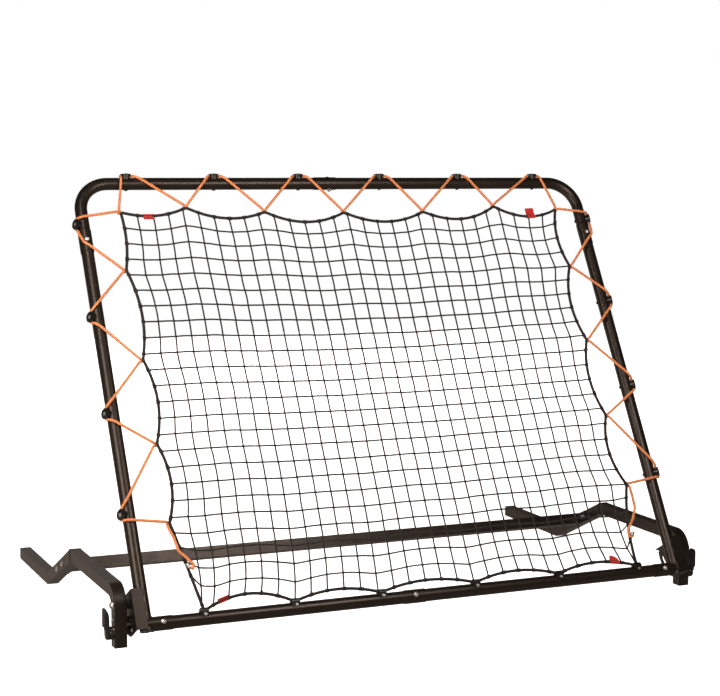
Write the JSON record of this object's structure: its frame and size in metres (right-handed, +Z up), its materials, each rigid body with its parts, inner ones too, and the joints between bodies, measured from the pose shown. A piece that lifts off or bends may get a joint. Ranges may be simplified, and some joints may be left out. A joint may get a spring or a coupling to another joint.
{
  "type": "pitch back rebounder",
  "caption": "Free-standing sports rebounder: a square-mesh net laced with bungee cord in a round-tube frame that tilts and clamps on a low square-tube base.",
  "frame": {"origin": "on the ground, at the middle of the part's bounding box seen from above", "axes": "+X to the right across the frame as the player faces it, +Y away from the player to the rear of the base, +Z up"},
  "size_m": [1.642, 1.0364, 1.0974],
  "materials": {
    "powder_coat": "dark brown-black powder coat, satin",
    "zinc": "bright zinc plate",
    "insert_brass": "turned brass",
    "black_plastic": "black moulded plastic",
    "button_plastic": "black nylon, slightly glossy",
    "net_cord": "black braided twine",
    "border_rope": "black braided rope",
    "bungee": "orange woven sheath over elastic",
    "tag": "red woven tape"
  },
  "bodies": {
    "base": {"left_leg": "powder_coat", "right_leg": "powder_coat", "rear_crossbar": "powder_coat", "crossbar_bolts": "zinc", "crossbar_nuts": "zinc", "left_foot_cap": "black_plastic", "right_foot_cap": "black_plastic", "left_rear_cap": "black_plastic", "right_rear_cap": "black_plastic", "left_pivot_bolt": "zinc", "right_pivot_bolt": "zinc", "pivot_washers": "zinc", "pivot_nuts": "zinc", "pivot_spacers": "black_plastic", "guide_bolts": "zinc", "guide_washers": "zinc", "guide_nuts": "zinc", "guide_spacers": "black_plastic", "left_clamp_bolt": "zinc", "right_clamp_bolt": "zinc", "clamp_washers": "zinc", "clamp_spacers": "black_plastic", "thrust_washers": "zinc", "post_sleeves": "zinc"},
    "frame": {"left_top_corner": "powder_coat", "right_top_corner": "powder_coat", "left_side_tube": "powder_coat", "right_side_tube": "powder_coat", "left_bottom_tube": "powder_coat", "right_bottom_tube": "powder_coat", "left_tilt_bracket": "powder_coat", "right_tilt_bracket": "powder_coat", "frame_bolts": "zinc", "frame_nuts": "zinc", "top_cord_buttons": "button_plastic", "left_cord_buttons": "button_plastic", "right_cord_buttons": "button_plastic", "button_screws": "zinc", "button_nuts": "powder_coat", "net": "net_cord", "border_rope": "border_rope", "net_clips": "button_plastic", "clip_screws": "zinc", "bungee_cord": "bungee", "bungee_clips": "zinc", "corner_tags": "tag"},
    "left_lever": {"left_clamp_lever": "black_plastic", "left_lever_insert": "insert_brass", "left_lever_screw": "zinc"},
    "right_lever": {"right_clamp_lever": "black_plastic", "right_lever_insert": "insert_brass", "right_lever_screw": "zinc"}
  },
  "joints": [
    {"name": "frame_tilt", "type": "hinge", "parent": "base", "child": "frame", "pos_m": [0, -0.44879, 0.1], "axis": [-1, 0, 0], "range_deg": [-30, 55]},
    {"name": "left_lever_turn", "type": "hinge", "parent": "base", "child": "left_lever", "pos_m": [-0.806, -0.44879, 0.038], "axis": [-1, 0, 0], "range_deg": [0, 100]},
    {"name": "right_lever_turn", "type": "hinge", "parent": "base", "child": "right_lever", "pos_m": [0.806, -0.44879, 0.038], "axis": [1, 0, 0], "range_deg": [0, 100]}
  ]
}
